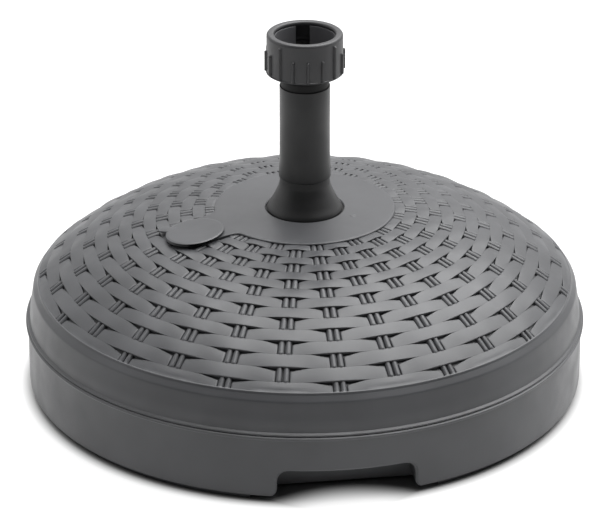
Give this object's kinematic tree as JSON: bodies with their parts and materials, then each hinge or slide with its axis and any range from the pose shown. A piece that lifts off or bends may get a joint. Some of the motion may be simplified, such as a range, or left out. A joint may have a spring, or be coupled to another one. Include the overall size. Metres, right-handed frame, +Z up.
{
  "type": "parasol base",
  "caption": "Round fillable parasol base with a woven-look dome, hand holds, a filler cap and a short mast tube with a clamp nut that grips the pole.",
  "frame": {"origin": "on the ground, at the centre of the round base", "axes": "+Z up along the mast tube; the two hand holds lie at -Y and +Y, and the filler cap lies towards -X"},
  "size_m": [0.5, 0.5, 0.3295],
  "materials": {
    "anthracite_plastic": "satin moulded",
    "black_plastic": "satin moulded",
    "nut_plastic": "satin moulded",
    "black_rubber": "matt"
  },
  "bodies": {
    "base": {"tank_shell": "anthracite_plastic", "top_shell": "anthracite_plastic", "centre_plate": "anthracite_plastic", "mast_foot": "black_plastic", "foot_gasket": "black_rubber", "foot_locknut": "black_plastic", "locknut_washer": "black_rubber"},
    "cap": {"filler_cap": "anthracite_plastic", "filler_cap_seal": "black_rubber"},
    "mast": {"mast_tube": "black_plastic"},
    "ring": {"clamp_ring": "nut_plastic"},
    "nut": {"clamp_nut": "nut_plastic"}
  },
  "joints": [
    {"name": "cap_pull", "type": "slide", "parent": "base", "child": "cap", "axis": [-0.1594, -0.0533, 0.9858], "range_m": [0, 0.06]},
    {"name": "tube_lift", "type": "slide", "parent": "base", "child": "mast", "axis": [0, 0, 1], "range_m": [0, 0.065]},
    {"name": "ring_travel", "type": "slide", "parent": "mast", "child": "ring", "axis": [0, 0, 1], "range_m": [-0.003, 0.012]},
    {"name": "nut_turn", "type": "hinge", "parent": "ring", "child": "nut", "pos_m": [0, 0, 0.3115], "axis": [0, 0, 1], "range_deg": [-270, 1080]}
  ],
  "couplings": [
    {"joint": "ring_travel", "follows": "nut_turn", "m_per_rad": 0.00063662}
  ]
}
